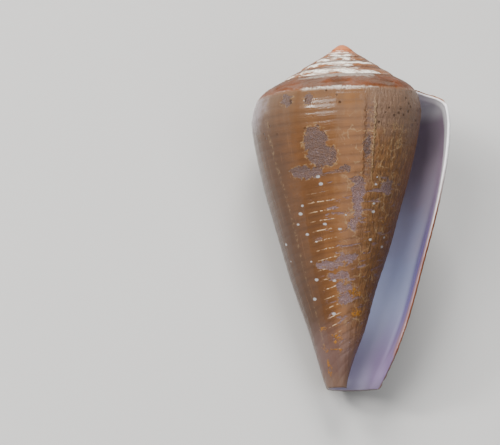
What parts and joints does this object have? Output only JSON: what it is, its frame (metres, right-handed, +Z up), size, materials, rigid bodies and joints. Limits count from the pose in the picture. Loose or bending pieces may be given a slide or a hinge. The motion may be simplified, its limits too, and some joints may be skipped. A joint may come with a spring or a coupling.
{
  "type": "cone shell",
  "caption": "Heavy conical seashell with a low stepped spire, a rounded shoulder and a long narrow aperture, lying on its back.",
  "frame": {"origin": "centre of the footprint, on the surface that the shell rests on", "axes": "+Y along the shell, from the front end to the spire; +Z up, the way the aperture looks; +X to the side of the outer lip"},
  "size_m": [0.028, 0.0488, 0.0259],
  "materials": {
    "shell": "glossy orange-brown shell with a cream spire and a blue-grey aperture"
  },
  "bodies": {
    "root": {"cone_shell": "shell"}
  },
  "joints": []
}
